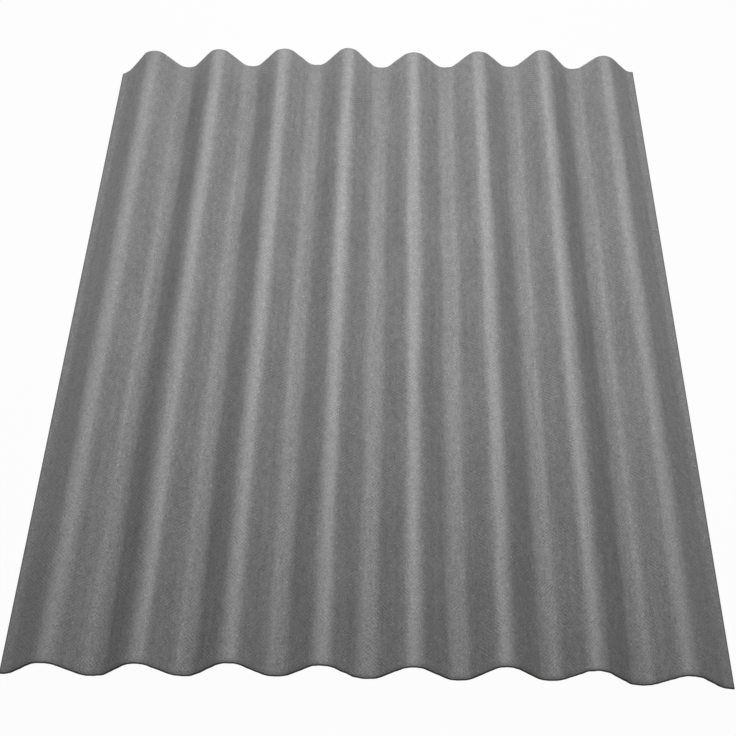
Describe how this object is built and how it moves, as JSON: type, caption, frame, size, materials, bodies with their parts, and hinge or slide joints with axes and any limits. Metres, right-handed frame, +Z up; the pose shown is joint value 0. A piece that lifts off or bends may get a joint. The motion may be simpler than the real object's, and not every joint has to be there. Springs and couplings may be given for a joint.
{
  "type": "corrugated bitumen roofing sheet",
  "caption": "Small grey corrugated bitumen roofing sheet: one moulded fibre board with parallel round-crowned ribs and narrow flat valleys, to nail on battens and lap rib on rib.",
  "frame": {"origin": "middle of the sheet, on the plane of the flat valley undersides", "axes": "+X across the ribs, +Y along the ribs, +Z up, out of the coated weather face"},
  "size_m": [0.76, 1, 0.0319],
  "materials": {
    "coated_board": "matte"
  },
  "bodies": {
    "root": {"corrugated_sheet": "coated_board"}
  },
  "joints": []
}
